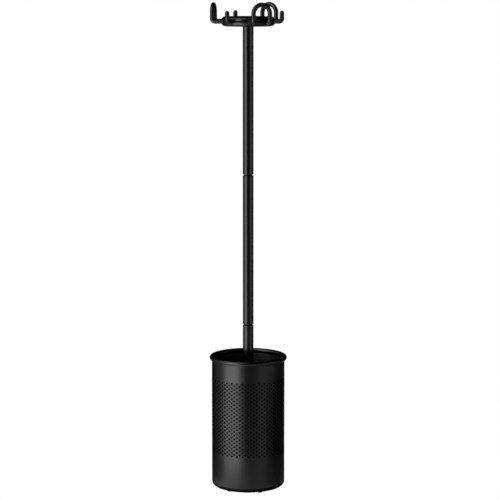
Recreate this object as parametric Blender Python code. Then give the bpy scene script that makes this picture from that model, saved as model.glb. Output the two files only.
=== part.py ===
"""Standing coat rack with an umbrella basket, as an assembly of separate pieces.

A pole of three screwed tubes stands on a ballast in the floor of a round basket and carries
a two-shell head with three arch hooks and three peg hooks. +Z is up, the origin is on the
pole's axis at floor level, and +X points along the first peg hook. Units are metres.
"""
import math

import bmesh
import bpy
from mathutils import Matrix, Vector

GAP = 0.0003                # play between neighbouring pieces

# basket
WALL_R = 0.130              # outer radius of the sheet wall
WALL_T = 0.0012
BASE_Z = 0.002              # underside of the basket above the floor
CORNER_R = 0.018            # rounding between the wall and the underside
FLANGE_R = 0.098            # inner edge of the flange turned in under the basket
BEAD_R = 0.0084             # section radius of the rim ring
BEAD_Z = 0.4692
WALL_TOP = BEAD_Z + 0.0025
RING_STEPS = 48

# floor of the basket
PLATE_T = 0.002
PLATE_R = 0.1115
DISH_R = 0.034              # raised centre of the floor plate, which hides the bolt head
DISH_RISE = 0.0085
BALLAST_R = 0.108
BALLAST_TOP = 0.026
BALLAST_SCREW_RING = 0.070
LINER_R = 0.1245            # drip liner, close behind the perforated wall
LINER_T = 0.0018
LINER_TOP = 0.4585
DISC_STEPS = 32
FOOT_RING = 0.107
FOOT_COUNT = 6
FOOT_R = 0.009
STEM_R = 0.003

# pole
TUBE_R = 0.019
TUBE_BORE = 0.0175
POLE_BOTTOM = 0.055
POLE_TOP = 1.6545           # inside the lower hook carrier
GROOVE = 0.0038             # gap between two tubes, where their inserts meet
INSERT_R = TUBE_BORE - GAP
INSERT_DEPTH = 0.030
COLLAR_R = 0.0145
STUD_R = 0.006
STUD_LENGTH = 0.044
BOLT_R = 0.005
TUBE_STEPS = 24
INSERT_STEPS = 16

# head
HEAD_MID = 1.6595           # height of the split between the shells and of the hook arms
HEAD_R = 0.0945
HEAD_HALF = 0.0175
EDGE_R = 0.0135
SHELL_T = 0.0024
SPLIT = 0.0025             # half of the groove between the shells
DISH_TOP = 0.0016           # how far the middle of the top lies below its edge
CARRIER_R = 0.086
CARRIER_HALF = 0.0132
CAP_R = 0.026
HEAD_STEPS = 40
CARRIER_STEPS = 32

# hooks
HOOK_TURN = math.radians(120)
ARM_R = 0.0084
LEG_R = 0.0080
BEND_R = 0.011
BEND_STEPS = 4
CROWN_STEPS = 5            # on each half of an arch
ARCH_REACH = 0.1222
ARCH_WIDTH = 0.0605
ARCH_TOP = 1.7257
ARCH_END = 0.055
PEG_REACH = 0.1184
PEG_TOP = 1.697
PEG_END = 0.046
UPSET_R = 0.0108            # thickened end that keeps an arm from pulling out
UPSET_LENGTH = 0.005
ARM_SIDES = 12
SCREW_RING = 0.038

FINISHES = {                # colour, roughness, metallic
    "black_enamel": ((0.012, 0.012, 0.013), 0.32, 0.0),
    "black_moulding": ((0.011, 0.011, 0.012), 0.36, 0.0),
    "matt_moulding": ((0.012, 0.012, 0.013), 0.55, 0.0),
    "rubber": ((0.020, 0.020, 0.020), 0.80, 0.0),
    "cast_iron": ((0.090, 0.088, 0.085), 0.70, 0.6),
    "zinc_steel": ((0.560, 0.560, 0.570), 0.35, 1.0),
}


# ---------------------------------------------------------------- helpers

def clear_scene():
    for old in list(bpy.data.objects):
        bpy.data.objects.remove(old, do_unlink=True)


def finish(name):
    material = bpy.data.materials.new(name)
    material.use_nodes = True
    color, roughness, metallic = FINISHES[name.split(".")[0]]
    shader = material.node_tree.nodes["Principled BSDF"]
    shader.inputs["Base Color"].default_value = (*color, 1.0)
    shader.inputs["Roughness"].default_value = roughness
    shader.inputs["Metallic"].default_value = metallic
    return material


def add_object(name, bm, slot=None, location=(0, 0, 0), turn=0.0):
    """Make an object of a bmesh; without a slot it is a cutter, which is not part of the model."""
    bmesh.ops.remove_doubles(bm, verts=bm.verts, dist=1e-6)
    bmesh.ops.recalc_face_normals(bm, faces=bm.faces)
    mesh = bpy.data.meshes.new(name)
    bm.to_mesh(mesh)
    bm.free()
    mesh.shade_smooth()
    mesh.set_sharp_from_angle(angle=math.radians(35))
    return place(name, mesh, slot, location, turn)


def place(name, mesh, slot, location=(0, 0, 0), turn=0.0):
    obj = bpy.data.objects.new(name, mesh)
    bpy.context.collection.objects.link(obj)
    obj.location = location
    obj.rotation_euler = (0, 0, turn)
    if slot is None:
        obj.hide_render = True
        obj.display_type = "WIRE"
    elif not mesh.materials:
        mesh.materials.append(finish(slot))
    return obj


def cut(obj, cutter, operation="DIFFERENCE"):
    modifier = obj.modifiers.new(cutter.name, "BOOLEAN")
    modifier.operation = operation
    modifier.solver = "EXACT"
    modifier.object = cutter


def arc(center_r, center_z, radius, start, end, steps):
    """Points of an arc in the (r, z) half plane, with its angles in degrees."""
    angles = [math.radians(start + (end - start) * i / steps) for i in range(steps + 1)]
    return [(center_r + radius * math.cos(a), center_z + radius * math.sin(a)) for a in angles]


def turn_outline(bm, outline, steps):
    """Revolve a closed (r, z) outline about the Z axis."""
    verts = [bm.verts.new((r, 0, z)) for r, z in outline]
    pairs = zip(verts, verts[1:] + verts[:1])
    edges = [bm.edges.new(pair) for pair in pairs if pair[0].co.x > 0 or pair[1].co.x > 0]
    bmesh.ops.spin(bm, geom=verts + edges, cent=(0, 0, 0), axis=(0, 0, 1), dvec=(0, 0, 0),
                   angle=2 * math.pi, steps=steps, use_merge=True, use_duplicate=False)


def turned(name, outline, steps, slot, height=0.0):
    bm = bmesh.new()
    turn_outline(bm, outline, steps)
    return add_object(name, bm, slot, location=(0, 0, height))


def ring_places(count, ring_r, first):
    angles = [first + 2 * math.pi * i / count for i in range(count)]
    return [(ring_r * math.cos(angle), ring_r * math.sin(angle)) for angle in angles]


def repeated(name, count, ring_r, outline, steps, slot, first=0.0, height=0.0):
    """Equal turned pieces standing on a circle, numbered from 1, with one shared mesh."""
    places = ring_places(count, ring_r, first)
    piece = turned(f"{name}_1", outline, steps, slot)
    piece.location = (*places[0], height)
    for i in range(1, count):
        place(f"{name}_{i + 1}", piece.data, slot, location=(*places[i], height))


def ring_cutter(name, count, ring_r, outline, steps, first=0.0, height=0.0):
    """One cutter for equal round holes on a circle."""
    bm = bmesh.new()
    for x, y in ring_places(count, ring_r, first):
        known = set(bm.verts)
        turn_outline(bm, outline, steps)
        fresh = [vert for vert in bm.verts if vert not in known]
        bmesh.ops.transform(bm, matrix=Matrix.Translation((x, y, 0)), verts=fresh)
    return add_object(name, bm, location=(0, 0, height))


def sweep(bm, path, radii, sides):
    """Round bar along a path of points, with a radius at each point and flat ends."""
    points = [Vector(p) for p in path]
    tangents = []
    for i, point in enumerate(points):
        before = points[max(i - 1, 0)]
        after = points[min(i + 1, len(points) - 1)]
        tangents.append((after - before).normalized())
    frame = tangents[0].to_track_quat("Z", "X").to_matrix()
    rings = []
    for i, point in enumerate(points):
        if i:
            frame = tangents[i - 1].rotation_difference(tangents[i]).to_matrix() @ frame
        ring = bmesh.ops.create_circle(bm, segments=sides, radius=radii[i],
                                       matrix=Matrix.Translation(point) @ frame.to_4x4())
        rings.append(ring["verts"])
    for near, far in zip(rings, rings[1:]):
        for k in range(sides):
            following = (k + 1) % sides
            bm.faces.new((near[k], near[following], far[following], far[k]))
    bm.faces.new(rings[0][::-1])
    bm.faces.new(rings[-1])


def sheet_hole(radius, low, high):
    return [(0, low), (radius, low), (radius, high), (0, high)]


# ---------------------------------------------------------------- basket

def make_basket_wall(stem_holes):
    inner_r = CORNER_R - WALL_T
    corner_z = BASE_Z + CORNER_R
    outline = [(WALL_R, WALL_TOP)]
    outline += arc(WALL_R - CORNER_R, corner_z, CORNER_R, 0, -90, 4)
    outline += [(FLANGE_R, BASE_Z), (FLANGE_R, BASE_Z + WALL_T)]
    outline += arc(WALL_R - CORNER_R, corner_z, inner_r, -90, 0, 4)
    outline += [(WALL_R - WALL_T, WALL_TOP)]
    cut(turned("basket_wall", outline, RING_STEPS, "black_enamel"), stem_holes)


def make_rim_ring():
    """Round edge ring, pushed over the wall's top edge, which stands in its slot."""
    slot_out = WALL_R + GAP
    slot_in = WALL_R - WALL_T - GAP
    start = -math.degrees(math.acos((slot_out - WALL_R) / BEAD_R))
    end = 360 - math.degrees(math.acos((slot_in - WALL_R) / BEAD_R))
    outline = arc(WALL_R, BEAD_Z, BEAD_R, start, end, 9)
    outline += [(slot_in, WALL_TOP + GAP), (slot_out, WALL_TOP + GAP)]
    turned("rim_ring", outline, RING_STEPS, "black_enamel")


def make_floor(stem_holes, screw_holes):
    plate_z = BASE_Z + WALL_T + GAP
    dish_z = plate_z + DISH_RISE
    bolt_hole = BOLT_R + 2 * GAP
    outline = [(PLATE_R, plate_z), (PLATE_R, plate_z + PLATE_T)]
    outline += [(DISH_R, plate_z + PLATE_T), (DISH_R - DISH_RISE, dish_z + PLATE_T)]
    outline += [(bolt_hole, dish_z + PLATE_T), (bolt_hole, dish_z)]
    outline += [(DISH_R - DISH_RISE - PLATE_T / 2, dish_z), (DISH_R - PLATE_T / 2, plate_z)]
    plate = turned("floor_plate", outline, DISC_STEPS, "black_enamel")
    cut(plate, stem_holes)
    cut(plate, screw_holes)

    low = plate_z + PLATE_T + GAP
    roof = dish_z + PLATE_T + GAP
    chamfer = 0.002
    outline = [(BALLAST_R - chamfer, low), (BALLAST_R, low + chamfer)]
    outline += [(BALLAST_R, BALLAST_TOP - chamfer), (BALLAST_R - chamfer, BALLAST_TOP)]
    outline += [(BOLT_R + 3 * GAP, BALLAST_TOP), (BOLT_R + 3 * GAP, roof)]
    outline += [(DISH_R + chamfer, roof), (DISH_R + chamfer, low)]
    cut(turned("ballast_disc", outline, DISC_STEPS, "cast_iron"), screw_holes)

    floor_z = BALLAST_TOP + GAP
    bore = BOLT_R + 4 * GAP
    ease = 0.004
    outline = [(bore, floor_z), (LINER_R - ease, floor_z), (LINER_R, floor_z + ease)]
    outline += [(LINER_R, LINER_TOP), (LINER_R - LINER_T, LINER_TOP)]
    outline += [(LINER_R - LINER_T, floor_z + ease), (LINER_R - ease, floor_z + LINER_T)]
    outline += [(bore, floor_z + LINER_T)]
    turned("drip_liner", outline, RING_STEPS, "matt_moulding")


def make_floor_fasteners():
    """Push-in feet that also pin the plate to the flange, ballast screws and the anchor bolt."""
    head_z = BASE_Z - GAP
    stem_top = BASE_Z + WALL_T + GAP + PLATE_T
    outline = [(0, 0), (FOOT_R, 0), (FOOT_R, head_z), (STEM_R, head_z)]
    outline += [(STEM_R, stem_top), (0, stem_top)]
    repeated("rubber_foot", FOOT_COUNT, FOOT_RING, outline, 12, "rubber")

    plate_z = BASE_Z + WALL_T + GAP
    screw_head = 0.0045
    screw_r = 0.0025
    outline = [(0, BASE_Z - 0.0008), (screw_head, BASE_Z - 0.0008), (screw_head, plate_z - GAP)]
    outline += [(screw_r, plate_z - GAP), (screw_r, plate_z + 0.014), (0, plate_z + 0.014)]
    repeated("ballast_screw", 3, BALLAST_SCREW_RING, outline, 12, "zinc_steel", first=math.radians(30))

    dish_z = plate_z + DISH_RISE
    washer_t = 0.0016
    outline = [(BOLT_R + GAP, 0), (0.013, 0), (0.013, washer_t), (BOLT_R + GAP, washer_t)]
    turned("anchor_washer", outline, INSERT_STEPS, "zinc_steel", height=dish_z - GAP - washer_t)
    head_top = dish_z - 2 * GAP - washer_t
    hex_bolt("anchor_bolt", 0.0085, head_top - 0.0062, head_top, 0.062)


def hex_bolt(name, corner_r, head_low, head_high, tip):
    """Hexagon bolt on the axis: its head between two heights, its shank running to the tip."""
    bm = bmesh.new()
    turn_outline(bm, sheet_hole(corner_r, head_low, head_high), 6)
    bolt = add_object(name, bm, "zinc_steel")
    middle = (head_low + head_high) / 2
    shank_outline = sheet_hole(BOLT_R, min(middle, tip), max(middle, tip))
    shank = turned(name + "_shank", shank_outline, INSERT_STEPS, None)
    cut(bolt, shank, "UNION")


# ---------------------------------------------------------------- pole

def pole_stations():
    """Ends of the three equal tubes, with the grooves of the two joints between them."""
    length = (POLE_TOP - POLE_BOTTOM - 2 * GROOVE) / 3
    return [(POLE_BOTTOM + i * (length + GROOVE), POLE_BOTTOM + i * (length + GROOVE) + length)
            for i in range(3)]


def make_pole():
    stations = pole_stations()
    ease = 0.0004
    for name, (low, high) in zip(("pole_lower", "pole_middle", "pole_upper"), stations):
        outline = [(TUBE_BORE, low), (TUBE_R - ease, low), (TUBE_R, low + ease)]
        outline += [(TUBE_R, high - ease), (TUBE_R - ease, high), (TUBE_BORE, high)]
        turned(name, outline, TUBE_STEPS, "black_enamel")
    for joint, (below, above) in zip(("lower", "upper"), zip(stations, stations[1:])):
        make_pole_joint(joint, below[1], above[0])


def make_pole_joint(joint, low, high):
    """Threaded inserts in two tube ends, meeting collar to collar on a common stud."""
    middle = (low + high) / 2
    for kind, side in (("socket", -1), ("plug", 1)):
        end = low if side < 0 else high
        bore = STUD_R + GAP
        outline = [(bore, end + side * INSERT_DEPTH), (INSERT_R, end + side * INSERT_DEPTH)]
        outline += [(INSERT_R, end - side * GAP), (COLLAR_R, end - side * GAP)]
        outline += [(COLLAR_R, middle + side * GAP / 2), (bore, middle + side * GAP / 2)]
        turned(joint + "_joint_" + kind, outline, INSERT_STEPS, "matt_moulding")
    half = STUD_LENGTH / 2
    chamfer = 0.001
    outline = [(0, middle - half), (STUD_R - chamfer, middle - half), (STUD_R, middle - half + chamfer)]
    outline += [(STUD_R, middle + half - chamfer), (STUD_R - chamfer, middle + half)]
    outline += [(0, middle + half)]
    turned(joint + "_joint_stud", outline, 12, "zinc_steel")


def make_pole_plugs():
    """Foot plug, whose tall collar stands on the liner, and the plug in the head's end."""
    bore = BOLT_R + GAP
    collar_low = BALLAST_TOP + GAP + LINER_T + GAP
    outline = [(bore, collar_low), (TUBE_R - 0.001, collar_low), (TUBE_R, collar_low + 0.001)]
    outline += [(TUBE_R, POLE_BOTTOM - GAP), (INSERT_R, POLE_BOTTOM - GAP)]
    outline += [(INSERT_R, POLE_BOTTOM + INSERT_DEPTH), (bore, POLE_BOTTOM + INSERT_DEPTH)]
    turned("foot_plug", outline, TUBE_STEPS, "black_enamel")
    top = pole_stations()[2][1]
    outline = [(bore, top - INSERT_DEPTH), (INSERT_R, top - INSERT_DEPTH), (INSERT_R, top), (bore, top)]
    turned("head_plug", outline, INSERT_STEPS, "zinc_steel")


# ---------------------------------------------------------------- head

def shell_outline(land_r, middle_drop, center_r):
    """Half section of the upper shell about the split at height 0; the lower one is its mirror.

    land_r is the radius of the inner land, and middle_drop lowers the outside within it."""
    flat_r = HEAD_R - EDGE_R
    flat_z = HEAD_HALF - EDGE_R
    outline = [(center_r, HEAD_HALF - middle_drop)]
    if middle_drop:
        outline += [(land_r - 2 * middle_drop, HEAD_HALF - middle_drop)]
    outline += [(land_r + 2 * middle_drop, HEAD_HALF)]
    outline += arc(flat_r, flat_z, EDGE_R, 90, 0, 4)
    outline += [(HEAD_R, SPLIT), (HEAD_R - SHELL_T, SPLIT)]
    outline += arc(flat_r, flat_z, EDGE_R - SHELL_T, 0, 90, 3)
    under = HEAD_HALF - SHELL_T
    land = CARRIER_HALF + GAP
    outline += [(land_r, under), (land_r - (under - land), land), (center_r, land)]
    return outline


def make_head(channels, screw_holes):
    low_outline = [(r, -z) for r, z in shell_outline(0.052, 0.0, TUBE_R + GAP)][::-1]
    lower = turned("head_lower_shell", low_outline, HEAD_STEPS, "black_moulding", height=HEAD_MID)
    cut(lower, channels)
    cut(lower, screw_holes)
    spigot_r = 0.0146
    upper = turned("head_upper_shell", shell_outline(0.066, DISH_TOP, spigot_r + GAP),
                   HEAD_STEPS, "black_moulding", height=HEAD_MID)
    cut(upper, channels)

    bore = BOLT_R + GAP
    shoulder = 0.006
    flat = CARRIER_R - (CARRIER_HALF - shoulder)
    outline = [(bore, GAP), (CARRIER_R, GAP), (CARRIER_R, shoulder), (flat, CARRIER_HALF)]
    seat = 0.0068
    well = spigot_r + GAP
    top = outline + [(well, CARRIER_HALF), (well, seat), (bore, seat)]
    cut(turned("hook_carrier_upper", top, CARRIER_STEPS, "matt_moulding", height=HEAD_MID), channels)
    socket = TUBE_R + GAP
    socket_z = HEAD_MID - POLE_TOP - GAP
    lower_outline = outline + [(socket, CARRIER_HALF), (socket, socket_z), (bore, socket_z)]
    bottom = [(r, -z) for r, z in lower_outline][::-1]
    carrier = turned("hook_carrier_lower", bottom, CARRIER_STEPS, "matt_moulding", height=HEAD_MID)
    cut(carrier, channels)
    cut(carrier, screw_holes)

    washer = [(bore, seat + GAP), (0.011, seat + GAP), (0.011, seat + 0.0019), (bore, seat + 0.0019)]
    turned("head_washer", washer, INSERT_STEPS, "zinc_steel", height=HEAD_MID)
    head_low = HEAD_MID + seat + 0.0022
    hex_bolt("head_bolt", 0.0098, head_low, head_low + 0.006, HEAD_MID - 0.040)

    seat_z = HEAD_HALF - DISH_TOP + GAP
    crown = HEAD_HALF + 0.0003
    outline = [(0, crown), (CAP_R - 0.002, crown - 0.0003), (CAP_R, crown - 0.0012), (CAP_R, seat_z)]
    outline += [(spigot_r, seat_z), (spigot_r, seat + 0.0005), (spigot_r - 0.002, seat + 0.0005)]
    outline += [(spigot_r - 0.002, seat_z - 0.0004), (0, seat_z - 0.0004)]
    turned("centre_cap", outline, 28, "black_moulding", height=HEAD_MID)


def make_shell_screws():
    low = -HEAD_HALF + GAP
    head_top = -HEAD_HALF + SHELL_T
    outline = [(0, low), (0.0042, low), (0.0042, head_top - GAP), (0.002, head_top - GAP)]
    outline += [(0.002, -0.0055), (0, -0.0055)]
    repeated("shell_screw", 3, SCREW_RING, outline, 12, "zinc_steel",
            first=math.radians(30), height=HEAD_MID)


def shell_screw_holes():
    head_top = -HEAD_HALF + SHELL_T
    outline = [(0, -0.020), (0.0046, -0.020), (0.0046, head_top), (0.0023, head_top)]
    outline += [(0.0023, -0.005), (0, -0.005)]
    return ring_cutter("shell_screw_holes", 3, SCREW_RING, outline, 12,
                       first=math.radians(30), height=HEAD_MID)


# ---------------------------------------------------------------- hooks

def arm_start(end_r, side, play=0.0):
    """Inner end of an arm along +X at the offset side, with its thickened end."""
    stations = [(end_r - play, UPSET_R), (end_r + UPSET_LENGTH + play, UPSET_R)]
    stations += [(end_r + UPSET_LENGTH + play + 0.0004, ARM_R)]
    path = [(x, side, HEAD_MID) for x, radius in stations]
    return path, [radius + play for x, radius in stations]


def bend_points(reach, side):
    """Quarter turn from the arm up into the leg."""
    path = []
    radii = []
    for i in range(BEND_STEPS + 1):
        angle = math.radians(90 * i / BEND_STEPS)
        x = reach - BEND_R + BEND_R * math.sin(angle)
        z = HEAD_MID + BEND_R - BEND_R * math.cos(angle)
        path.append((x, side, z))
        radii.append(ARM_R + (LEG_R - ARM_R) * i / BEND_STEPS)
    return path, radii


def make_peg_hook(name, turn, mesh=None):
    if mesh is None:
        bm = bmesh.new()
        path, radii = arm_start(PEG_END, 0.0)
        bend, bend_radii = bend_points(PEG_REACH, 0.0)
        path += bend
        radii += bend_radii
        dome = PEG_TOP - LEG_R
        for angle in (0, 30, 55, 78):
            slope = math.radians(angle)
            path.append((PEG_REACH, 0, dome + LEG_R * math.sin(slope)))
            radii.append(LEG_R * math.cos(slope))
        sweep(bm, path, radii, ARM_SIDES)
        return add_object(name, bm, "black_moulding", turn=turn)
    return place(name, mesh, "black_moulding", turn=turn)


def make_arch_hook(name, turn, mesh=None):
    if mesh is None:
        bm = bmesh.new()
        side = ARCH_WIDTH / 2
        path, radii = arm_start(ARCH_END, -side)
        bend, bend_radii = bend_points(ARCH_REACH, -side)
        path += bend
        radii += bend_radii
        crown_z = ARCH_TOP - LEG_R - side
        half = [(ARCH_REACH, -side * math.cos(a), crown_z + side * math.sin(a))
                for a in (math.radians(90 * i / CROWN_STEPS) for i in range(CROWN_STEPS))]
        path += half
        radii += [LEG_R] * len(half)
        mirrored = [(x, -y, z) for x, y, z in path]
        path += [(ARCH_REACH, 0, crown_z + side)] + mirrored[::-1]
        radii += [LEG_R] + radii[::-1]
        sweep(bm, path, radii, ARM_SIDES)
        return add_object(name, bm, "black_moulding", turn=turn)
    return place(name, mesh, "black_moulding", turn=turn)


def hook_channels():
    """Room for the nine arms, which the shells and the carriers are cut with."""
    bm = bmesh.new()
    arms = [(PEG_END, 0.0, 0.0), (ARCH_END, -ARCH_WIDTH / 2, math.pi), (ARCH_END, ARCH_WIDTH / 2, math.pi)]
    for repeat in range(3):
        for end_r, side, turn in arms:
            path, radii = arm_start(end_r, side, play=GAP)
            path.append((HEAD_R + 0.006, side, HEAD_MID))
            radii.append(ARM_R + GAP)
            spin = Matrix.Rotation(turn + repeat * HOOK_TURN, 3, "Z")
            sweep(bm, [spin @ Vector(point) for point in path], radii, ARM_SIDES)
    return add_object("hook_channels", bm)


def make_hooks():
    peg = None
    arch = None
    for i in range(3):
        turn = i * HOOK_TURN
        peg = make_peg_hook(f"peg_hook_{i + 1}", turn, peg.data if peg else None)
        arch = make_arch_hook(f"arch_hook_{i + 1}", turn + math.pi / 3, arch.data if arch else None)


def main():
    clear_scene()
    stem_holes = ring_cutter("stem_holes", FOOT_COUNT, FOOT_RING,
                             sheet_hole(STEM_R + GAP, -0.01, 0.012), 16)
    screw_holes = ring_cutter("ballast_screw_holes", 3, BALLAST_SCREW_RING,
                              sheet_hole(0.0028, -0.01, 0.019), 12, first=math.radians(30))
    make_basket_wall(stem_holes)
    make_rim_ring()
    make_floor(stem_holes, screw_holes)
    make_floor_fasteners()
    make_pole()
    make_pole_plugs()
    channels = hook_channels()
    make_head(channels, shell_screw_holes())
    make_shell_screws()
    make_hooks()


main()
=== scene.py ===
import math

import bmesh
import bpy
from mathutils import Matrix, Vector


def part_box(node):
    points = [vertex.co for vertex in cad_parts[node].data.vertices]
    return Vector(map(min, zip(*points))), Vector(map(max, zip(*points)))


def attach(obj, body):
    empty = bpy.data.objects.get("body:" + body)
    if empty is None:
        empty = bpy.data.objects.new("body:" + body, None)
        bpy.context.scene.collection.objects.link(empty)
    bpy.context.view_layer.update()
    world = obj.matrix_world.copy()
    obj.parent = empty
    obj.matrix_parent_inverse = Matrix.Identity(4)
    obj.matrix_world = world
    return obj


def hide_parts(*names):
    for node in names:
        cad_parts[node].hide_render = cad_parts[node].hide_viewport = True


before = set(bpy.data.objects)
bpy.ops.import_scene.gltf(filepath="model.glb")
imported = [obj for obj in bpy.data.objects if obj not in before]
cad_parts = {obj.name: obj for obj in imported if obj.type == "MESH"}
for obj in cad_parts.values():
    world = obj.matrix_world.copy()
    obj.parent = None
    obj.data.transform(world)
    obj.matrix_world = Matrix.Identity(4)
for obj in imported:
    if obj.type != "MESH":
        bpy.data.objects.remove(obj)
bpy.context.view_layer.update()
print("frame loaded")

origin = Vector((0, 0, 0))
upward = Vector((0, 0, 1))


# camera, floor and light

cameraSetup = {
    "azimuth": 7.5,              # degrees from the side that looks along +Y
    "distance": 6.7,
    "height": 1.79,
    "aimHeight": 0.8548,
    "sideways": 0.0065,          # camera and aim together, to the camera's right
    "viewAngle": 14.92,
}


def makeCamera():
    turn = math.radians(cameraSetup["azimuth"])
    right = Vector((math.cos(turn), math.sin(turn), 0)) * cameraSetup["sideways"]
    place = Vector((math.sin(turn), -math.cos(turn), 0)) * cameraSetup["distance"] + right
    place.z = cameraSetup["height"]
    aim = right + upward * cameraSetup["aimHeight"]
    data = bpy.data.cameras.new("studioCamera")
    data.sensor_width = 36
    data.angle = math.radians(cameraSetup["viewAngle"])
    camera = bpy.data.objects.new("studioCamera", data)
    camera.location = place
    camera.rotation_euler = (aim - place).to_track_quat("-Z", "Y").to_euler()
    bpy.context.scene.collection.objects.link(camera)
    bpy.context.scene.camera = camera


# Soft boxes round the object, as brightness by direction. Azimuths are degrees to the right of the
# camera, and rises are the sine of the elevation.
softBoxes = {
    "tallKey": {                 # seen by the pole, the head and the hooks
        "strength": 3.65,
        "azimuth": [(-140, 0), (-122, 0.06), (-104, 0.12), (-88, 0.20), (-74, 0.36), (-64, 1),
                    (-41, 1), (-24, 0)],
        "rise": [(-0.198, 0), (-0.186, 1), (0.45, 1), (0.62, 0)],
    },
    "lowKey": {                  # seen by the basket
        "strength": 3.25,
        "azimuth": [(-150, 0), (-128, 0.02), (-104, 0.08), (-88, 0.24), (-75, 0.95), (-30, 1),
                    (-20, 0.38), (-4, 0)],
        "rise": [(-0.95, 0), (-0.85, 1), (-0.198, 1), (-0.186, 0)],
    },
    "overhead": {
        "strength": 2.3,
        "azimuth": [(-120, 0), (-95, 0.50), (-70, 1), (-30, 1), (-8, 0.25), (8, 0)],
        "rise": [(0.45, 0), (0.62, 1), (0.80, 0.9), (0.95, 0.25), (1, 0.2)],
    },
    "tallFill": {
        "strength": 0.98,
        "azimuth": [(12, 0), (30, 0.20), (48, 0.85), (62, 1), (80, 1), (98, 0.30), (116, 0.08), (130, 0)],
        "rise": [(-0.198, 0), (-0.186, 0.9), (-0.12, 1), (0.12, 1), (0.20, 0)],
    },
    "lowFill": {
        "strength": 0.25,
        "azimuth": [(8, 0), (26, 0.45), (38, 1), (50, 0.95), (60, 0.55), (70, 0.1), (78, 0)],
        "rise": [(-0.50, 0), (-0.35, 1), (-0.198, 1), (-0.186, 0)],
    },
    "frontGlow": {               # far floor in front of the object
        "strength": 0.46,
        "azimuth": [(-125, 0), (-90, 0.4), (-50, 1), (36, 1), (52, 0.65), (66, 0.25), (80, 0)],
        "rise": [(-0.60, 0), (-0.40, 1), (-0.245, 0.90), (-0.215, 0.55), (-0.198, 0.22), (-0.183, 0)],
    },
    "sideGlow": {
        "strength": 0.055,
        "azimuth": [(92, 0), (112, 1), (130, 0.8), (150, 0.6), (166, 0)],
        "rise": [(-0.50, 0), (-0.35, 1), (-0.198, 1), (-0.18, 0)],
    },
    "rearStrip": {               # keeps the back of the object readable
        "strength": 1.1,
        "azimuth": [(-180, 1), (-172, 1), (-163, 0.1), (-155, 0),
                    (155, 0), (163, 0.1), (172, 1), (180, 1)],
        "rise": [(-0.70, 0), (-0.50, 1), (-0.05, 1), (-0.02, 0)],
    },
    "nearGlow": {                # floor under the head and the hooks
        "strength": 0.40,
        "azimuth": [(-180, 0.6), (-130, 0.8), (-80, 1), (90, 1), (130, 0.6), (180, 0.6)],
        "rise": [(-1, 1), (-0.80, 1), (-0.55, 0.4), (-0.38, 0)],
    },
}


# a colour ramp that turns a number between low and high into a brightness
def rampNode(nodes, links, source, stops, low, high):
    span = nodes.new("ShaderNodeMapRange")
    span.inputs["From Min"].default_value = low
    span.inputs["From Max"].default_value = high
    ramp = nodes.new("ShaderNodeValToRGB")
    ramp.color_ramp.interpolation = "EASE"
    marks = ramp.color_ramp.elements
    while len(marks) < len(stops):
        marks.new(0.5)
    for mark, (place, level) in zip(marks, sorted(stops)):
        mark.position = (place - low) / (high - low)
        mark.color = (level, level, level, 1)
    links.new(source, span.inputs["Value"])
    links.new(span.outputs["Result"], ramp.inputs["Fac"])
    return ramp.outputs["Color"]


def mathNode(nodes, links, operation, first, second):
    node = nodes.new("ShaderNodeMath")
    node.operation = operation
    for socket, value in zip(node.inputs, (first, second)):
        if isinstance(value, (int, float)):
            socket.default_value = value
        else:
            links.new(value, socket)
    return node.outputs[0]


# degrees to the right of the camera, and the height, of a direction or a place
def azimuthNode(nodes, links, vector):
    split = nodes.new("ShaderNodeSeparateXYZ")
    turned = nodes.new("ShaderNodeMapping")
    turned.inputs["Rotation"].default_value[2] = math.radians(-cameraSetup["azimuth"])
    links.new(vector, turned.inputs["Vector"])
    links.new(turned.outputs["Vector"], split.inputs["Vector"])
    towards = mathNode(nodes, links, "MULTIPLY", split.outputs["Y"], -1)
    radians = mathNode(nodes, links, "ARCTAN2", split.outputs["X"], towards)
    return mathNode(nodes, links, "MULTIPLY", radians, 180 / math.pi), split.outputs["Z"]


def makeLight():
    world = bpy.data.worlds.new("studio")
    bpy.context.scene.world = world
    world.use_nodes = True
    nodes, links = world.node_tree.nodes, world.node_tree.links
    nodes.clear()
    direction = nodes.new("ShaderNodeTexCoord").outputs["Generated"]
    azimuth, rise = azimuthNode(nodes, links, direction)
    total = 0.0
    for box in softBoxes.values():
        around = rampNode(nodes, links, azimuth, box["azimuth"], -180, 180)
        along = rampNode(nodes, links, rise, box["rise"], -1, 1)
        level = mathNode(nodes, links, "MULTIPLY", around, along)
        level = mathNode(nodes, links, "MULTIPLY", level, box["strength"])
        total = mathNode(nodes, links, "ADD", level, total)
    light = nodes.new("ShaderNodeBackground")
    links.new(total, light.inputs["Strength"])
    backdrop = nodes.new("ShaderNodeBackground")
    backdrop.inputs["Color"].default_value = (1, 1, 1, 1)
    rays = nodes.new("ShaderNodeLightPath")
    mix = nodes.new("ShaderNodeMixShader")
    output = nodes.new("ShaderNodeOutputWorld")
    links.new(rays.outputs["Is Camera Ray"], mix.inputs["Fac"])
    links.new(light.outputs[0], mix.inputs[1])
    links.new(backdrop.outputs[0], mix.inputs[2])
    links.new(mix.outputs[0], output.inputs["Surface"])
    bpy.context.scene.view_settings.view_transform = "Standard"


# The floor shows pale. In reflections it has a soft glow near the basket, with a dark contact line,
# and is clear farther out. Reaches are metres from the axis.
floorCard = {
    "size": 4,
    "strength": 1.40,
    "azimuth": [(-150, 0), (-105, 0.05), (-85, 0.20), (-64, 0.62), (-48, 0.82), (-28, 0.72), (-10, 0.46),
                (6, 0.32), (38, 0.28), (60, 0.14), (85, 0.06), (120, 0.03), (180, 0)],
    "glow": [(0, 0), (0.140, 0), (0.175, 1), (1, 1)],
    "cover": [(0, 1), (0.18, 0.97), (0.32, 0.86), (0.62, 0.30), (0.90, 0)],
}


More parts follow.
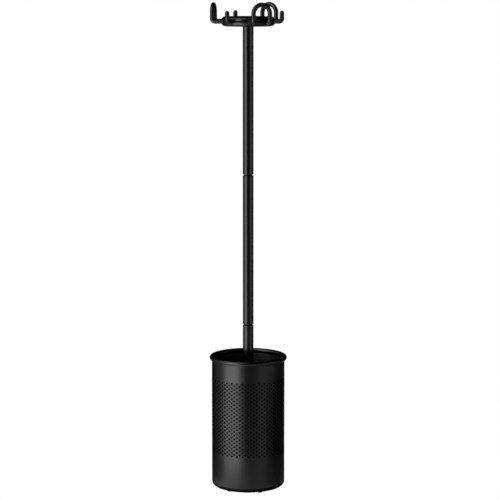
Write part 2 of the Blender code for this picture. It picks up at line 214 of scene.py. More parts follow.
def makeFloor():
    bm = bmesh.new()
    bmesh.ops.create_grid(bm, x_segments=1, y_segments=1, size=floorCard["size"])
    mesh = bpy.data.meshes.new("studioFloor")
    bm.to_mesh(mesh)
    bm.free()
    floor = bpy.data.objects.new("studioFloor", mesh)
    bpy.context.scene.collection.objects.link(floor)
    floor.visible_diffuse = floor.visible_shadow = False
    material = bpy.data.materials.new("paleFloor")
    material.use_nodes = True
    nodes, links = material.node_tree.nodes, material.node_tree.links
    nodes.clear()
    pale = nodes.new("ShaderNodeEmission")
    glow = nodes.new("ShaderNodeEmission")
    clear = nodes.new("ShaderNodeBsdfTransparent")
    place = nodes.new("ShaderNodeTexCoord").outputs["Object"]
    reach = nodes.new("ShaderNodeVectorMath")
    reach.operation = "LENGTH"
    links.new(place, reach.inputs[0])
    azimuth = azimuthNode(nodes, links, place)[0]
    around = rampNode(nodes, links, azimuth, floorCard["azimuth"], -180, 180)
    along = rampNode(nodes, links, reach.outputs["Value"], floorCard["glow"], 0, 1)
    cover = rampNode(nodes, links, reach.outputs["Value"], floorCard["cover"], 0, 1)
    level = mathNode(nodes, links, "MULTIPLY", around, along)
    links.new(mathNode(nodes, links, "MULTIPLY", level, floorCard["strength"]), glow.inputs["Strength"])
    side = nodes.new("ShaderNodeNewGeometry")
    rays = nodes.new("ShaderNodeLightPath")
    mirrored = nodes.new("ShaderNodeMixShader")
    seen = nodes.new("ShaderNodeMixShader")
    below = nodes.new("ShaderNodeMixShader")
    output = nodes.new("ShaderNodeOutputMaterial")
    for mix, factor, first, second in (
            (mirrored, cover, clear, glow),
            (seen, rays.outputs["Is Camera Ray"], mirrored, pale),
            (below, side.outputs["Backfacing"], seen, clear)):
        links.new(factor, mix.inputs["Fac"])
        links.new(first.outputs[0], mix.inputs[1])
        links.new(second.outputs[0], mix.inputs[2])
    links.new(below.outputs[0], output.inputs["Surface"])
    mesh.materials.append(material)


makeCamera()
makeLight()
makeFloor()
print("camera, floor and light made")


# materials

def newGroup(name, ins, outs):
    group = bpy.data.node_groups.new(name, "ShaderNodeTree")
    for label, kind, value in ins:
        group.interface.new_socket(label, in_out="INPUT", socket_type=kind).default_value = value
    for label, kind in outs:
        group.interface.new_socket(label, in_out="OUTPUT", socket_type=kind)
    nodes, links = group.nodes, group.links
    return group, nodes, links, nodes.new("NodeGroupInput"), nodes.new("NodeGroupOutput")


def noiseNode(nodes, links, vector, scale, detail=2.0, roughness=0.5):
    noise = nodes.new("ShaderNodeTexNoise")
    links.new(vector, noise.inputs["Vector"])
    noise.inputs["Detail"].default_value = detail
    noise.inputs["Roughness"].default_value = roughness
    if isinstance(scale, (int, float)):
        noise.inputs["Scale"].default_value = scale
    else:
        links.new(scale, noise.inputs["Scale"])
    return noise.outputs["Fac"]


def spanNode(nodes, links, value, fromLow, fromHigh, toLow, toHigh):
    span = nodes.new("ShaderNodeMapRange")
    ends = {"From Min": fromLow, "From Max": fromHigh, "To Min": toLow, "To Max": toHigh}
    for label, number in ends.items():
        if isinstance(number, (int, float)):
            span.inputs[label].default_value = number
        else:
            links.new(number, span.inputs[label])
    links.new(value, span.inputs["Value"])
    return span.outputs["Result"]


# fine grain of a coat or moulding: a height for Bump, with roughness and shade that vary a little
def makeFinishGrain():
    group, nodes, links, given, out = newGroup(
        "finishGrain",
        [("Color", "NodeSocketColor", (0, 0, 0, 1)), ("Grain Scale", "NodeSocketFloat", 900.0),
         ("Cloud Scale", "NodeSocketFloat", 14.0), ("Rough Low", "NodeSocketFloat", 0.25),
         ("Rough High", "NodeSocketFloat", 0.35), ("Shade", "NodeSocketFloat", 0.10)],
        [("Color", "NodeSocketColor"), ("Roughness", "NodeSocketFloat"), ("Height", "NodeSocketFloat")])
    place = nodes.new("ShaderNodeTexCoord").outputs["Object"]
    grain = noiseNode(nodes, links, place, given.outputs["Grain Scale"], 2.0, 0.55)
    clouds = noiseNode(nodes, links, place, given.outputs["Cloud Scale"], 4.0, 0.6)
    mixed = mathNode(nodes, links, "MULTIPLY_ADD", grain, 0.35)
    mixed.node.inputs[2].default_value = 0.0
    links.new(mathNode(nodes, links, "MULTIPLY", clouds, 0.65), mixed.node.inputs[2])
    smooth, rough = given.outputs["Rough Low"], given.outputs["Rough High"]
    links.new(spanNode(nodes, links, mixed, 0.3, 0.7, smooth, rough), out.inputs["Roughness"])
    shade = mathNode(nodes, links, "MULTIPLY", mathNode(nodes, links, "SUBTRACT", clouds, 0.5), 2)
    shade = mathNode(nodes, links, "MULTIPLY", shade, given.outputs["Shade"])
    tint = nodes.new("ShaderNodeHueSaturation")
    links.new(mathNode(nodes, links, "ADD", shade, 1), tint.inputs["Value"])
    links.new(given.outputs["Color"], tint.inputs["Color"])
    links.new(tint.outputs["Color"], out.inputs["Color"])
    links.new(grain, out.inputs["Height"])
    return group


# faint dust on faces that look up
def makeSettledDust():
    group, nodes, links, given, out = newGroup(
        "settledDust",
        [("Color", "NodeSocketColor", (0, 0, 0, 1)), ("Roughness", "NodeSocketFloat", 0.3),
         ("Dust Color", "NodeSocketColor", (0.30, 0.29, 0.27, 1)), ("Amount", "NodeSocketFloat", 0.03)],
        [("Color", "NodeSocketColor"), ("Roughness", "NodeSocketFloat")])
    split = nodes.new("ShaderNodeSeparateXYZ")
    links.new(nodes.new("ShaderNodeNewGeometry").outputs["Normal"], split.inputs["Vector"])
    place = nodes.new("ShaderNodeTexCoord").outputs["Object"]
    up = spanNode(nodes, links, split.outputs["Z"], 0.55, 1.0, 0.0, 1.0)
    specks = spanNode(nodes, links, noiseNode(nodes, links, place, 420.0, 3.0, 0.7), 0.42, 0.68, 0.0, 1.0)
    mask = mathNode(nodes, links, "MULTIPLY", up, specks)
    mask = mathNode(nodes, links, "MULTIPLY", mask, given.outputs["Amount"])
    mix = nodes.new("ShaderNodeMix")
    mix.data_type = "RGBA"
    links.new(mask, mix.inputs["Factor"])
    links.new(given.outputs["Color"], mix.inputs["A"])
    links.new(given.outputs["Dust Color"], mix.inputs["B"])
    links.new(mix.outputs["Result"], out.inputs["Color"])
    links.new(mathNode(nodes, links, "MULTIPLY_ADD", mask, 0.5), out.inputs["Roughness"])
    links.new(given.outputs["Roughness"], out.inputs["Roughness"].links[0].from_node.inputs[2])
    return group


finishGrain = makeFinishGrain()
settledDust = makeSettledDust()

finishes = {
    "blackEnamel": {
        "color": (0.0022, 0.0022, 0.0024), "rough": (0.15, 0.20), "grain": 1100.0, "clouds": 11.0,
        "shade": 0.10, "bump": 0.06, "depth": 0.00005, "dust": 0.02, "metallic": 0.0, "sheen": 0.5,
    },
    "blackMoulding": {
        "color": (0.0022, 0.0022, 0.0024), "rough": (0.18, 0.24), "grain": 1700.0, "clouds": 18.0,
        "shade": 0.12, "bump": 0.10, "depth": 0.00005, "dust": 0.02, "metallic": 0.0, "sheen": 0.5,
    },
    "mattMoulding": {
        "color": (0.0045, 0.0045, 0.0048), "rough": (0.42, 0.52), "grain": 1300.0, "clouds": 16.0,
        "shade": 0.15, "bump": 0.16, "depth": 0.00008, "dust": 0.03, "metallic": 0.0, "sheen": 0.5,
    },
    # matt insert finish with its specular level turned down to 0.08: partly the inserts' own matt black,
    # partly painted shade that keeps the grooves between parts and the holes in the basket wall dark
    "insertWithPaintedShade": {
        "color": (0.0030, 0.0030, 0.0032), "rough": (0.55, 0.65), "grain": 1300.0, "clouds": 20.0,
        "shade": 0.15, "bump": 0.20, "depth": 0.00008, "dust": 0.0, "metallic": 0.0, "sheen": 0.08,
    },
    "footRubber": {
        "color": (0.018, 0.018, 0.018), "rough": (0.70, 0.86), "grain": 900.0, "clouds": 60.0,
        "shade": 0.20, "bump": 0.30, "depth": 0.00015, "dust": 0.05, "metallic": 0.0, "sheen": 0.5,
    },
    "castIron": {
        "color": (0.060, 0.057, 0.054), "rough": (0.58, 0.80), "grain": 520.0, "clouds": 45.0,
        "shade": 0.35, "bump": 0.55, "depth": 0.0004, "dust": 0.05, "metallic": 0.7, "sheen": 0.5,
    },
    "zincSteel": {
        "color": (0.46, 0.46, 0.455), "rough": (0.26, 0.42), "grain": 1500.0, "clouds": 120.0,
        "shade": 0.10, "bump": 0.08, "depth": 0.00004, "dust": 0.0, "metallic": 1.0, "sheen": 0.5,
    },
}


def makeFinish(name):
    look = finishes[name]
    material = bpy.data.materials.new(name)
    material.use_nodes = True
    nodes, links = material.node_tree.nodes, material.node_tree.links
    shader = nodes["Principled BSDF"]
    shader.inputs["Metallic"].default_value = look["metallic"]
    shader.inputs["IOR"].default_value = 1.5
    shader.inputs["Specular IOR Level"].default_value = look["sheen"]
    grain = nodes.new("ShaderNodeGroup")
    grain.node_tree = finishGrain
    grain.inputs["Color"].default_value = (*look["color"], 1)
    grain.inputs["Grain Scale"].default_value = look["grain"]
    grain.inputs["Cloud Scale"].default_value = look["clouds"]
    grain.inputs["Rough Low"].default_value, grain.inputs["Rough High"].default_value = look["rough"]
    grain.inputs["Shade"].default_value = look["shade"]
    dust = nodes.new("ShaderNodeGroup")
    dust.node_tree = settledDust
    dust.inputs["Amount"].default_value = look["dust"]
    links.new(grain.outputs["Color"], dust.inputs["Color"])
    links.new(grain.outputs["Roughness"], dust.inputs["Roughness"])
    links.new(dust.outputs["Color"], shader.inputs["Base Color"])
    links.new(dust.outputs["Roughness"], shader.inputs["Roughness"])
    bump = nodes.new("ShaderNodeBump")
    bump.inputs["Strength"].default_value = look["bump"]
    bump.inputs["Distance"].default_value = look["depth"]
    links.new(grain.outputs["Height"], bump.inputs["Height"])
    links.new(bump.outputs["Normal"], shader.inputs["Normal"])
    return material


blackEnamel = makeFinish("blackEnamel")
blackMoulding = makeFinish("blackMoulding")
mattMoulding = makeFinish("mattMoulding")
insertWithPaintedShade = makeFinish("insertWithPaintedShade")
footRubber = makeFinish("footRubber")
castIron = makeFinish("castIron")
zincSteel = makeFinish("zincSteel")
print("materials made")


# shared modelling steps

# turn a bmesh into a piece that rides on the one body and stands for CAD nodes
def finishPiece(name, bm, material, nodes, sharp=32):
    mesh = bpy.data.meshes.new(name)
    bm.to_mesh(mesh)
    bm.free()
    mesh.materials.append(material)
    mesh.shade_smooth()
    mesh.set_sharp_from_angle(angle=math.radians(sharp))
    piece = bpy.data.objects.new(name, mesh)
    bpy.context.scene.collection.objects.link(piece)
    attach(piece, "root")
    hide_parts(*nodes)
    return piece


def cleanUp(bm, distance=1e-5):
    bmesh.ops.remove_doubles(bm, verts=bm.verts, dist=distance)
    bmesh.ops.recalc_face_normals(bm, faces=bm.faces)


# turn a closed outline round the Z axis. A corner is (radius, z) or (radius, z, rounding)
def turnProfile(bm, corners, steps, height=0.0):
    verts = [bm.verts.new((corner[0], 0, corner[1] + height)) for corner in corners]
    edges = [bm.edges.new(pair) for pair in zip(verts, verts[1:] + verts[:1])
             if pair[0].co.x > 1e-7 or pair[1].co.x > 1e-7]
    outline = set(verts)
    for vert, corner in zip(verts, corners):
        if len(corner) > 2:
            made = bmesh.ops.bevel(bm, geom=[vert], offset=corner[2], offset_type="OFFSET",
                                   segments=corner[3] if len(corner) > 3 else 4, profile=0.5,
                                   affect="VERTICES", material=-1)
            outline |= set(made["verts"])
    outline = [vert for vert in outline if vert.is_valid]
    edges = list({edge for vert in outline for edge in vert.link_edges})
    bmesh.ops.spin(bm, geom=outline + edges, cent=origin, axis=upward, dvec=origin,
                   angle=2 * math.pi, steps=steps, use_merge=True, use_duplicate=False)


def turnedPiece(name, corners, steps, material, nodes, height=0.0, sharp=32):
    bm = bmesh.new()
    turnProfile(bm, corners, steps, height)
    cleanUp(bm)
    return finishPiece(name, bm, material, nodes, sharp)


def edgeVerts(edges):
    return list({vert for edge in edges for vert in edge.verts})


# extrude a ring of edges, then shift it and scale it about a centre, across the Z axis only
def pushedRing(bm, edges, shift=origin, scale=1.0, centre=origin):
    made = bmesh.ops.extrude_edge_only(bm, edges=edges)["geom"]
    verts = [item for item in made if isinstance(item, bmesh.types.BMVert)]
    fresh = [item for item in made if isinstance(item, bmesh.types.BMEdge)
             and item.verts[0] in verts and item.verts[1] in verts]
    bmesh.ops.scale(bm, vec=(scale, scale, 1), space=Matrix.Translation(-Vector(centre)), verts=verts)
    bmesh.ops.translate(bm, vec=shift, verts=verts)
    return fresh


# basket wall: a sheet with a band of round holes in staggered columns

wallLow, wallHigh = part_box("basket_wall")
basketWall = {
    "radius": wallHigh.x,
    "sheet": 0.0012,
    "underside": wallLow.z,
    "top": wallHigh.z,
    "cornerRadius": 0.018,
    "cornerSteps": 7,
    "flangeRadius": 0.098,
    "columnPairs": 41,
    "holes": 20,                 # in the longer columns
    "holeRadius": 0.0040,
    "holeSides": 16,
    "firstHole": 0.1342,
    "lastHole": 0.3951,
    "frontColumn": -82.5,        # azimuth of a longer column, in degrees
}


# one hole in a rectangle of sheet, standing in the XZ plane
def holeCell(bm, x, z, wide, high):
    ring = bmesh.ops.create_circle(bm, segments=basketWall["holeSides"], radius=basketWall["holeRadius"])
    edges = list({edge for vert in ring["verts"] for edge in vert.link_edges})
    made = bmesh.ops.extrude_edge_only(bm, edges=edges)["geom"]
    outer = [item for item in made if isinstance(item, bmesh.types.BMVert)]
    for vert in outer:
        reach = max(abs(vert.co.x), abs(vert.co.y))
        vert.co.x = round(2 * vert.co.x / reach) / 2 * wide / 2
        vert.co.y = round(2 * vert.co.y / reach) / 2 * high / 2
    verts = ring["verts"] + outer
    bmesh.ops.rotate(bm, cent=origin, matrix=Matrix.Rotation(math.pi / 2, 3, "X"), verts=verts)
    bmesh.ops.translate(bm, vec=(x, 0, z), verts=verts)
    return verts


# plain sheet at an end of a shorter column
def fillerCell(bm, x, z, wide, high):
    place = Matrix.Translation((x, 0, z)) @ Matrix.Rotation(math.pi / 2, 4, "X")
    place @= Matrix.Diagonal((wide / 2, high / 2, 1, 1))
    bmesh.ops.create_grid(bm, x_segments=4, y_segments=2, size=1, matrix=place)


def makeBasketWall():
    look = basketWall
    pitch = (look["lastHole"] - look["firstHole"]) / (look["holes"] - 1)
    wide = 2 * math.pi * look["radius"] / (2 * look["columnPairs"])
    low = look["firstHole"] - pitch / 2
    high = look["lastHole"] + pitch / 2
    bm = bmesh.new()
    for x, count, start in ((0, look["holes"], look["firstHole"]), (wide, look["holes"] - 1, low + pitch)):
        verts = holeCell(bm, x, start, wide, pitch)
        faces = list({face for vert in verts for face in vert.link_faces})
        edges = list({edge for vert in verts for edge in vert.link_edges})
        bmesh.ops.spin(bm, geom=verts + edges + faces, cent=origin, axis=(0, 1, 0),
                       dvec=(0, 0, pitch), angle=0, steps=count - 1, use_duplicate=True)
    fillerCell(bm, wide, low + pitch / 4, wide, pitch / 2)
    fillerCell(bm, wide, high - pitch / 4, wide, pitch / 2)
    bmesh.ops.remove_doubles(bm, verts=bm.verts, dist=1e-5)
    front = math.radians(look["frontColumn"])
    for vert in bm.verts:
        angle = front + vert.co.x / look["radius"]
        vert.co = (look["radius"] * math.cos(angle), look["radius"] * math.sin(angle), vert.co.z)
    pairs = look["columnPairs"]
    bmesh.ops.spin(bm, geom=bm.verts[:] + bm.edges[:] + bm.faces[:], cent=origin, axis=upward, dvec=origin,
                   angle=2 * math.pi * (pairs - 1) / pairs, steps=pairs - 1, use_duplicate=True)
    bmesh.ops.remove_doubles(bm, verts=bm.verts, dist=1e-5)

    openEdges = [edge for edge in bm.edges if edge.is_boundary]
    topRing = [edge for edge in openEdges if min(v.co.z for v in edge.verts) > high - 1e-5]
    lowRing = [edge for edge in openEdges if max(v.co.z for v in edge.verts) < low + 1e-5]
    for share in (0.25, 0.5, 0.75, 1):
        rise = high + (look["top"] - high) * share - topRing[0].verts[0].co.z
        topRing = pushedRing(bm, topRing, shift=(0, 0, rise))
    bend = look["cornerRadius"]
    straightEnd = look["underside"] + bend
    for share in (0.3, 0.65, 1):
        drop = low + (straightEnd - low) * share - lowRing[0].verts[0].co.z
        lowRing = pushedRing(bm, lowRing, shift=(0, 0, drop))
    radius = look["radius"]
    for step in range(1, look["cornerSteps"] + 1):
        angle = math.pi / 2 * step / look["cornerSteps"]
        nextRadius = look["radius"] - bend + bend * math.cos(angle)
        drop = straightEnd - bend * math.sin(angle) - lowRing[0].verts[0].co.z
        lowRing = pushedRing(bm, lowRing, shift=(0, 0, drop), scale=nextRadius / radius)
        radius = nextRadius
    pushedRing(bm, lowRing, scale=look["flangeRadius"] / radius)
    bmesh.ops.recalc_face_normals(bm, faces=bm.faces)
    bmesh.ops.solidify(bm, geom=bm.faces[:], thickness=look["sheet"])
    finishPiece("basketWall", bm, blackEnamel, ["basket_wall"])


makeBasketWall()
print("basket wall made")


# rim ring, with a narrow lip below the bead

ringLow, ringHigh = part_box("rim_ring")
rimRing = {
    "beadRadius": ringHigh.x - wallHigh.x,
    "low": ringLow.z,
    "high": ringHigh.z,
    "lipOut": 0.0021,
    "lipDrop": 0.0026,
    "play": 0.0003,
    "around": 144,
    "section": 28,
}


def makeRimRing():
    look = rimRing
    bead = look["beadRadius"]
    middle = look["high"] - bead
    wall = wallHigh.x
    play = look["play"]
    inner, outer = wall - basketWall["sheet"] - play, wall + play
    corners = []
    # round section, open below, where the wall stands in it
    startAngle = -math.degrees(math.acos((look["lipOut"] - 0.0004) / bead))
    endAngle = 180 + math.degrees(math.acos((wall - inner) / bead))
    for step in range(look["section"] + 1):
        angle = math.radians(startAngle + (endAngle - startAngle) * step / look["section"])
        corners.append((wall + bead * math.cos(angle), middle + bead * math.sin(angle)))
    corners += [(inner, wallHigh.z + play), (outer, wallHigh.z + play)]
    lipBase = look["low"] - look["lipDrop"]
    corners += [(outer, lipBase), (wall + look["lipOut"], lipBase, 0.0009)]
    corners += [(wall + look["lipOut"], look["low"] + 0.0004)]
    turnedPiece("rimRing", corners, look["around"], blackEnamel, ["rim_ring"], sharp=40)


makeRimRing()


# drip liner, floor plate and feet

linerLow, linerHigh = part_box("drip_liner")
dripLiner = {
    "radius": linerHigh.x,
    "sheet": 0.0018,
    "footRounding": 0.006,
    "support": 0.002,
    "bore": 0.0062,
    "around": 128,
}


def makeDripLiner():
    look = dripLiner
    low, high = linerLow.z, linerHigh.z
    radius, sheet, rounding = look["radius"], look["sheet"], look["footRounding"]
    inside, support = radius - sheet, look["support"]
    corners = [(look["bore"], low), (radius, low, rounding, 6), (radius, low + rounding + support)]
    corners += [(radius, high - support), (radius, high, 0.0006), (inside, high, 0.0006)]
    corners += [(inside, high - support), (inside, low + rounding + support)]
    corners += [(inside, low + sheet, rounding - sheet, 6)]
    corners += [(look["bore"], low + sheet)]
    liner = turnedPiece("dripLiner", corners, look["around"], mattMoulding,
                        ["drip_liner"])
    liner.data.materials.append(insertWithPaintedShade)
    for face in liner.data.polygons:          # the outer side takes the darker, duller finish: painted shade seen through the holes in the basket wall
        outwards = face.normal.x * face.center.x + face.normal.y * face.center.y
        face.material_index = int(outwards > 0.5 * radius)


plateLow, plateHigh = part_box("floor_plate")
floorPlate = {
    "radius": plateHigh.x,
    "sheet": 0.002,
    "dishRadius": 0.034,
    "dishRise": plateHigh.z - plateLow.z - 0.002,
    "bore": 0.0056,
    "around": 96,
}


def makeFloorPlate():
    look = floorPlate
    low, sheet, dish, rise = plateLow.z, look["sheet"], look["dishRadius"], look["dishRise"]
    corners = [(look["radius"], low, 0.0005), (look["radius"], low + sheet, 0.0005)]
    corners += [(dish, low + sheet, 0.003), (dish - rise, low + sheet + rise, 0.003)]
    corners += [(look["bore"], low + sheet + rise), (look["bore"], low + rise)]
    corners += [(dish - rise - sheet / 2, low + rise, 0.003), (dish - sheet / 2, low, 0.003)]
    turnedPiece("floorPlate", corners, look["around"], blackEnamel, ["floor_plate"])


def nodeCentre(node):
    low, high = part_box(node)
    return (low + high) / 2


rubberFoot = {
    "count": 6,
    "rounding": 0.0006,
    "grooveDepth": 0.0004,
    "grooveRadius": 0.0052,
    "stemRadius": 0.003,
    "play": 0.0003,
    "around": 40,
}


def makeRubberFeet():
    look = rubberFoot
    for number in range(1, look["count"] + 1):
        node = f"rubber_foot_{number}"
        low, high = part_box(node)
        radius = (high.x - low.x) / 2
        disc = wallLow.z - look["play"]
        stem = look["stemRadius"]
        groove = look["grooveRadius"]
        corners = [(0, 0), (groove - 0.0008, 0), (groove, look["grooveDepth"]), (groove + 0.0008, 0)]
        corners += [(radius, 0, look["rounding"], 3), (radius, disc)]
        corners += [(stem, disc), (stem, high.z), (0, high.z)]
        bm = bmesh.new()
        turnProfile(bm, corners, look["around"])
        cleanUp(bm)
        bmesh.ops.translate(bm, vec=(*nodeCentre(node).xy, 0), verts=bm.verts)
        finishPiece(f"rubberFoot{number}", bm, footRubber, [node])


makeDripLiner()
makeFloorPlate()
makeRubberFeet()
print("rim, liner, floor and feet made")


# screws seen from below, with a hexagon socket in each head

socketScrew = {
    "ballast": {"head": 0.0045, "socket": 0.0024, "depth": 0.0009, "rounding": 0.0004, "thick": 0.0012},
    "shell": {"head": 0.0042, "socket": 0.0022, "depth": 0.0010, "rounding": 0.0004, "thick": 0.0012},
}


def makeSocketScrews(kind):
    look = socketScrew[kind]
    for number in (1, 2, 3):
        node = f"{kind}_screw_{number}"
        low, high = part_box(node)
        centre = nodeCentre(node)
        bm = bmesh.new()
        hexagon = bmesh.ops.create_circle(bm, segments=6, radius=look["socket"])["verts"]
        hexEdges = list({edge for vert in hexagon for edge in vert.link_edges})
        rim = bmesh.ops.create_circle(bm, segments=36, radius=look["head"] - look["rounding"])["verts"]
        rimEdges = list({edge for vert in rim for edge in vert.link_edges})
        bmesh.ops.bridge_loops(bm, edges=hexEdges + rimEdges)
        floorEdges = pushedRing(bm, hexEdges, shift=(0, 0, look["depth"]))
        bmesh.ops.contextual_create(bm, geom=floorEdges)
        turn = look["rounding"]
        grow = (look["head"] - turn * 0.3) / (look["head"] - turn)
        edges = pushedRing(bm, rimEdges, shift=(0, 0, turn * 0.3), scale=grow)
        grow = look["head"] / (look["head"] - turn * 0.3)
        edges = pushedRing(bm, edges, shift=(0, 0, turn * 0.7), scale=grow)
        edges = pushedRing(bm, edges, shift=(0, 0, look["thick"] - turn))
        edges = pushedRing(bm, edges, scale=0.55)          # from the head to the shank
        edges = pushedRing(bm, edges, shift=(0, 0, high.z - low.z - look["thick"]))
        bmesh.ops.contextual_create(bm, geom=edges)
        cleanUp(bm)
        bmesh.ops.translate(bm, vec=(centre.x, centre.y, low.z), verts=bm.verts)
        finishPiece(f"{kind}Screw{number}", bm, zincSteel, [node])


makeSocketScrews("ballast")
makeSocketScrews("shell")
print("screws made")


# pole: three tubes with eased ends, dark collars between them

poleTube = {
    "bore": 0.0175,
    "ease": 0.0005,
    "support": 0.002,
    "around": 112,
    "plugAround": 96,
    "collarRadius": 0.0145,      # dark groove between two tubes
    "studBore": 0.0063,
    "boltBore": 0.0053,
    "flangeEase": 0.0012,
    "play": 0.0003,
}


def makePole():
    look = poleTube
    for name in ("lower", "middle", "upper"):
        low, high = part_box(f"pole_{name}")
        radius, ease, support = high.x, look["ease"], look["support"]
        corners = [(look["bore"], low.z), (radius, low.z, ease, 3), (radius, low.z + support)]
        corners += [(radius, high.z - support), (radius, high.z, ease, 3), (look["bore"], high.z)]
        turnedPiece(f"{name}Tube", corners, look["around"], blackEnamel, [f"pole_{name}"])
    play, bolt, around = look["play"], look["boltBore"], look["plugAround"]
    inner = look["bore"] - play
    low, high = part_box("foot_plug")
    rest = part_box("pole_lower")[0].z - play
    corners = [(bolt, low.z), (high.x, low.z, look["flangeEase"]), (high.x, rest)]
    corners += [(inner, rest), (inner, high.z), (bolt, high.z)]
    turnedPiece("footPlug", corners, around, blackEnamel, ["foot_plug"])
    collar, stud = look["collarRadius"], look["studBore"]
    joints = (("lower", "pole_lower", "pole_middle"), ("upper", "pole_middle", "pole_upper"))
    for joint, below, above in joints:
        for kind, end in (("socket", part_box(below)[1].z + play), ("plug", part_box(above)[0].z - play)):
            node = f"{joint}_joint_{kind}"
            low, high = (corner.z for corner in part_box(node))
            deep, meeting = (low, high) if kind == "socket" else (high, low)
            corners = [(stud, deep), (inner, deep), (inner, end)]
            corners += [(collar, end), (collar, meeting), (stud, meeting)]
            name = f"{joint}Joint{kind.title()}"
            # the collars take the matt insert finish, partly painted shade that keeps the grooves between
            # the tubes dark
            turnedPiece(name, corners, around, insertWithPaintedShade, [node])


makePole()
print("pole made")


# head: two shells with a groove between them, and a cap in the middle of the top

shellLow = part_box("head_lower_shell")[0]
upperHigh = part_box("head_upper_shell")[1]
headMiddle = (shellLow.z + upperHigh.z) / 2
headHalf = upperHigh.z - headMiddle
head = {
    "radius": upperHigh.x,
    "edgeRadius": 0.0135,
    "sheet": 0.0024,
    "split": 0.0025,
    "lipRounding": 0.0006,
    "dish": 0.0016,
    "dishRadius": 0.066,
    "landRadius": 0.052,
    "land": 0.0135,
    "capRadius": 0.026,
    "around": 144,
    "armPlay": 0.0005,
    "capHole": 0.0149,
}

hook = {
    "armRadius": 0.0084,
    "legRadius": 0.0080,
    "bendRadius": 0.011,
    "pegReach": 0.1184,
    "archReach": 0.1222,
    "archWidth": 0.0605,
    "pegEnd": 0.046,
    "archEnd": 0.055,
    "upset": 0.0108,
    "sides": 32,
    "bendSteps": 9,
    "crownSteps": 28,
}


# open disc of edges that a bar grows from
def startBar(bm, radius, start, ahead, sides):
    turn = Vector(ahead).to_track_quat("Z", "X").to_matrix().to_4x4()
    place = Matrix.Translation(start) @ turn
    ring = bmesh.ops.create_circle(bm, segments=sides, radius=radius, matrix=place)
    return list({edge for vert in ring["verts"] for edge in vert.link_edges})


def ringCentre(edges):
    verts = edgeVerts(edges)
    return sum((vert.co for vert in verts), Vector()) / len(verts)


# extrude the end ring of a bar along a straight run, and scale it about its own middle
def growRun(bm, edges, shift, scale=1.0):
    made = bmesh.ops.extrude_edge_only(bm, edges=edges)["geom"]
    verts = [item for item in made if isinstance(item, bmesh.types.BMVert)]
    fresh = [item for item in made if isinstance(item, bmesh.types.BMEdge)
             and item.verts[0] in verts and item.verts[1] in verts]
    centre = ringCentre(fresh)
    bmesh.ops.scale(bm, vec=(scale, scale, scale), space=Matrix.Translation(-centre), verts=verts)
    bmesh.ops.translate(bm, vec=shift, verts=verts)
    return fresh


def growBend(bm, edges, centre, axis, angle, steps):
    made = bmesh.ops.spin(bm, geom=edgeVerts(edges) + edges, cent=centre, axis=axis, dvec=origin,
                          angle=angle, steps=steps, use_merge=False, use_duplicate=False)
    return [item for item in made["geom_last"] if isinstance(item, bmesh.types.BMEdge)]


# arm along +X from its thickened inner end to the start of its bend
def growArm(bm, end, reach, side, sides, play=0.0):
    look = hook
    arm = look["armRadius"] + play
    upset = look["upset"] + play
    edges = startBar(bm, upset, (end - play, side, headMiddle), (1, 0, 0), sides)
    bmesh.ops.contextual_create(bm, geom=edges)
    edges = growRun(bm, edges, (0.005 + 2 * play, 0, 0))
    edges = growRun(bm, edges, (0.0004, 0, 0), arm / upset)
    bendStart = reach - look["bendRadius"]
    edges = growRun(bm, edges, (bendStart - end - 0.0054 - play, 0, 0))
    return edges


# quarter turn up from the arm, then the small taper into the leg
def growElbow(bm, edges, reach, side):
    look = hook
    centre = (reach - look["bendRadius"], side, headMiddle + look["bendRadius"])
    edges = growBend(bm, edges, centre, (0, -1, 0), math.pi / 2, look["bendSteps"])
    return growRun(bm, edges, (0, 0, 0.002), look["legRadius"] / look["armRadius"])


def makePegHook(number):
    look = hook
    node = f"peg_hook_{number}"
    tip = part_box(node)[1].z
    leg = look["legRadius"]
    bm = bmesh.new()
    edges = growArm(bm, look["pegEnd"], look["pegReach"], 0, look["sides"])
    edges = growElbow(bm, edges, look["pegReach"], 0)
    here = ringCentre(edges).z
    edges = growRun(bm, edges, (0, 0, tip - leg - here))
    last = 0.0
    for slope in (15, 30, 45, 60, 75):
        angle = math.radians(slope)
        rise = leg * (math.sin(angle) - math.sin(last))
        edges = growRun(bm, edges, (0, 0, rise), math.cos(angle) / math.cos(last))
        last = angle
    bmesh.ops.pointmerge(bm, verts=growCap(bm, edges), merge_co=(look["pegReach"], 0, tip))
    cleanUp(bm)
    turn = Matrix.Rotation((number - 1) * math.radians(120), 3, "Z")
    bmesh.ops.rotate(bm, cent=origin, matrix=turn, verts=bm.verts)
    finishPiece(f"pegHook{number}", bm, blackMoulding, [node])


def growCap(bm, edges):
    made = bmesh.ops.extrude_edge_only(bm, edges=edges)["geom"]
    return [item for item in made if isinstance(item, bmesh.types.BMVert)]


def makeArchHook(number):
    look = hook
    node = f"arch_hook_{number}"
    side = look["archWidth"] / 2
    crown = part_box(node)[1].z - look["legRadius"] - side
    bm = bmesh.new()
    edges = growArm(bm, look["archEnd"], look["archReach"], -side, look["sides"])
    edges = growElbow(bm, edges, look["archReach"], -side)
    here = ringCentre(edges).z
    edges = growRun(bm, edges, (0, 0, crown - here))
    growBend(bm, edges, (look["archReach"], 0, crown), (-1, 0, 0), math.pi / 2, look["crownSteps"] // 2)
    bmesh.ops.mirror(bm, geom=bm.verts[:] + bm.edges[:] + bm.faces[:], axis="Y", merge_dist=1e-5)
    cleanUp(bm)
    turn = Matrix.Rotation(math.radians(60 + (number - 1) * 120), 3, "Z")
    bmesh.ops.rotate(bm, cent=origin, matrix=turn, verts=bm.verts)
    finishPiece(f"archHook{number}", bm, blackMoulding, [node])


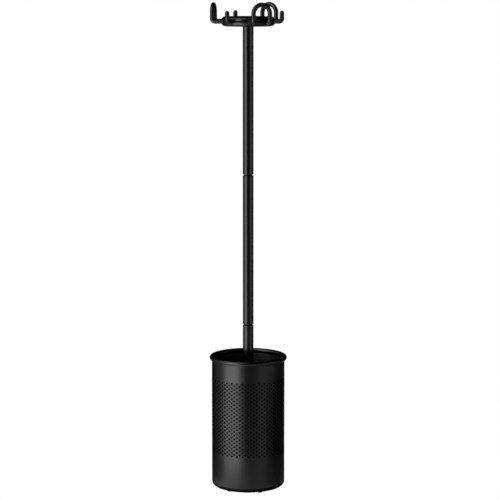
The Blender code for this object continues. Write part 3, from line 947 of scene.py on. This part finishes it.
# bars the size of the arms with their play, to cut the shells with
def armChannels():
    look = hook
    bm = bmesh.new()
    side = look["archWidth"] / 2
    for repeat in range(3):
        for offset, turn in ((0, 0), (-side, 60), (side, 60)):
            known = set(bm.verts)
            play = head["armPlay"]
            edges = startBar(bm, look["armRadius"] + play, (0.058, offset, headMiddle), (1, 0, 0), 40)
            bmesh.ops.contextual_create(bm, geom=edges)
            edges = growRun(bm, edges, (head["radius"] - 0.058 + 0.006, 0, 0))
            bmesh.ops.contextual_create(bm, geom=edges)
            fresh = [vert for vert in bm.verts if vert not in known]
            angle = math.radians(turn + repeat * 120)
            bmesh.ops.rotate(bm, cent=origin, matrix=Matrix.Rotation(angle, 3, "Z"), verts=fresh)
    cleanUp(bm)
    mesh = bpy.data.meshes.new("armChannels")
    bm.to_mesh(mesh)
    bm.free()
    cutter = bpy.data.objects.new("armChannels", mesh)
    bpy.context.scene.collection.objects.link(cutter)
    return cutter


# cut the channels out of a shell and keep the result as its mesh
def cutShell(piece, cutter):
    modifier = piece.modifiers.new("armChannels", "BOOLEAN")
    modifier.object = cutter
    modifier.solver = "EXACT"
    shown = piece.evaluated_get(bpy.context.evaluated_depsgraph_get())
    mesh = bpy.data.meshes.new_from_object(shown)
    piece.modifiers.clear()
    piece.data = mesh
    mesh.shade_smooth()
    mesh.set_sharp_from_angle(angle=math.radians(32))


def makeHead():
    look = head
    radius, edge, sheet, split = look["radius"], look["edgeRadius"], look["sheet"], look["split"]
    flat = radius - edge
    under = headHalf - sheet
    dish, dishRadius = look["dish"], look["dishRadius"]
    cutter = armChannels()
    outer = [(radius, headHalf, edge, 9), (radius, split, look["lipRounding"]), (radius - sheet, split)]
    outer += [(radius - sheet, under, edge - sheet, 6)]
    top = [(look["capHole"], headHalf - dish), (dishRadius - 1.6 * dish, headHalf - dish, 0.004, 5)]
    top += [(dishRadius + 1.6 * dish, headHalf, 0.004, 5)] + outer
    top += [(dishRadius, under), (dishRadius - (under - look["land"]), look["land"])]
    top += [(look["capHole"], look["land"])]
    upper = turnedPiece("headUpperShell", top, look["around"], blackMoulding,
                        ["head_upper_shell"], headMiddle)
    cutShell(upper, cutter)

    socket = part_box("pole_upper")[1].x + poleTube["play"]
    land = look["landRadius"]
    low = [(socket, headHalf, 0.0008)] + outer
    low += [(land, under), (land - (under - look["land"]), look["land"]), (socket, look["land"])]
    bm = bmesh.new()
    turnProfile(bm, low, look["around"])
    cleanUp(bm)
    mirrored = Matrix.Translation((0, 0, headMiddle)) @ Matrix.Scale(-1, 4, upward)
    bmesh.ops.transform(bm, matrix=mirrored, verts=bm.verts)
    bmesh.ops.recalc_face_normals(bm, faces=bm.faces)
    lower = finishPiece("headLowerShell", bm, blackMoulding, ["head_lower_shell"])
    cutShell(lower, cutter)
    bpy.data.objects.remove(cutter)

    capLow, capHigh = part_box("centre_cap")
    seat = headMiddle + headHalf - dish + poleTube["play"]
    reach = look["capRadius"]
    corners = [(0, capHigh.z), (reach * 0.55, capHigh.z - 0.0001), (reach * 0.85, capHigh.z - 0.0004)]
    corners += [(reach, capHigh.z - 0.0008, 0.0005), (reach, seat), (0.0146, seat), (0.0146, capLow.z)]
    corners += [(0.0126, capLow.z), (0.0126, seat - 0.0004), (0, seat - 0.0004)]
    turnedPiece("centreCap", corners, 96, blackMoulding, ["centre_cap"])


makeHead()
for number in (1, 2, 3):
    makePegHook(number)
    makeArchHook(number)
print("head and hooks made")


# CAD nodes that stay: the hidden inner pieces, and the bolt head in the floor's dish

keptNodes = {
    "ballast_disc": castIron,
    # the hook carriers show in the groove between the head shells; their matt insert finish is partly
    # painted shade there
    "hook_carrier_lower": insertWithPaintedShade,
    "hook_carrier_upper": insertWithPaintedShade,
    "anchor_bolt": zincSteel,
    "anchor_washer": zincSteel,
    "head_bolt": zincSteel,
    "head_plug": zincSteel,
    "head_washer": zincSteel,
    "lower_joint_stud": zincSteel,
    "upper_joint_stud": zincSteel,
}


def finishKeptNodes():
    for node, material in keptNodes.items():
        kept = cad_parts[node]
        kept.data.materials.clear()
        kept.data.materials.append(material)


finishKeptNodes()
print("kept nodes finished")
